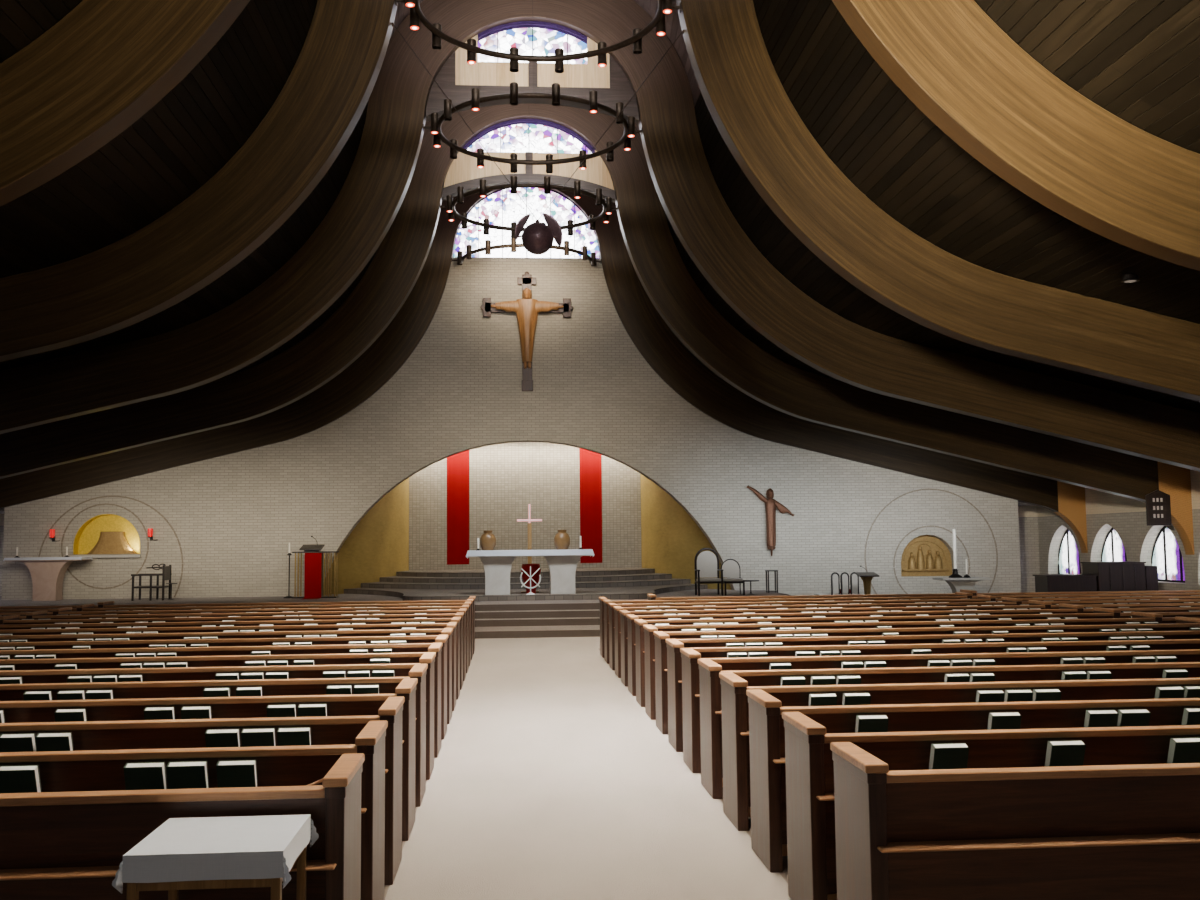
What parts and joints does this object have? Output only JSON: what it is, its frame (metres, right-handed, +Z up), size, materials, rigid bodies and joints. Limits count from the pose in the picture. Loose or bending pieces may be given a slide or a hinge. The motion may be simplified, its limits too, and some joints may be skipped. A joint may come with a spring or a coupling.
{
  "type": "sanctuary end of a modern church nave",
  "caption": "Sanctuary end of a church: bell-shaped timber frames, stepped crown hoods with coloured lunettes, brick walls, arched apse, dais, altar and pews.",
  "frame": {"origin": "centre of the bounding box at the underside of the floor slab", "axes": "+Z up, +X to the right of someone who faces the sanctuary, +Y from the open end towards the apse"},
  "size_m": [29.6, 32.432, 11.9803],
  "materials": {
    "laminated_timber": "satin laminated timber",
    "roof_boards": "dark stained boards",
    "coloured_glass": "leaded coloured glass",
    "white_brick": "white painted brick",
    "grey_brick": "grey brick and stone",
    "yellow_plaster": "painted plaster",
    "carpet": "short carpet pile",
    "concrete": "fair concrete",
    "roofing": "mineral felt",
    "oak": "satin stained oak",
    "white_stone": "honed stone",
    "white_cloth": "plain woven cloth",
    "dark_oak": "carved and stained wood",
    "red_cloth": "plain woven cloth",
    "black_metal": "satin black paint"
  },
  "bodies": {
    "root": {"floor": "concrete", "platform": "carpet", "nave_steps": "carpet", "dais": "grey_brick", "sanctuary_wall": "white_brick", "apse_side_wall_right": "yellow_plaster", "apse_side_wall_left": "yellow_plaster", "apse_back_wall": "grey_brick", "apse_roof": "roofing", "rear_wall_right": "white_brick", "rear_wall_left": "white_brick", "rear_roof_right": "roofing", "rear_roof_left": "roofing", "outer_wall_right": "white_brick", "outer_wall_left": "white_brick", "window_glass_right": "coloured_glass", "window_glass_left": "coloured_glass", "rib_1_right": "laminated_timber", "rib_1_left": "laminated_timber", "rib_2_right": "laminated_timber", "rib_2_left": "laminated_timber", "rib_3_right": "laminated_timber", "rib_3_left": "laminated_timber", "rib_4_right": "laminated_timber", "rib_4_left": "laminated_timber", "rib_5_right": "laminated_timber", "rib_5_left": "laminated_timber", "rib_6_right": "laminated_timber", "rib_6_left": "laminated_timber", "rib_7_right": "laminated_timber", "rib_7_left": "laminated_timber", "roof_deck_right": "roof_boards", "roof_deck_left": "roof_boards", "crown_hood_1": "roof_boards", "crown_hood_2": "roof_boards", "crown_hood_3": "roof_boards", "crown_hood_4": "roof_boards", "crown_hood_5": "roof_boards", "crown_hood_6": "roof_boards", "lunette_glass_1": "coloured_glass", "lunette_glass_2": "coloured_glass", "lunette_glass_3": "coloured_glass", "lunette_glass_4": "coloured_glass", "lunette_glass_5": "coloured_glass", "lunette_glass_6": "coloured_glass", "lunette_glass_7": "coloured_glass", "pews_right": "oak", "pews_left": "oak", "altar": "white_stone", "side_altar": "white_stone", "credence_table": "white_stone", "cloth_table": "white_cloth", "wall_cross": "dark_oak", "banner_left": "red_cloth", "banner_right": "red_cloth", "ring_light_1": "black_metal", "ring_light_2": "black_metal", "ring_light_3": "black_metal", "ring_light_4": "black_metal", "hanging_speaker": "black_metal"}
  },
  "joints": []
}
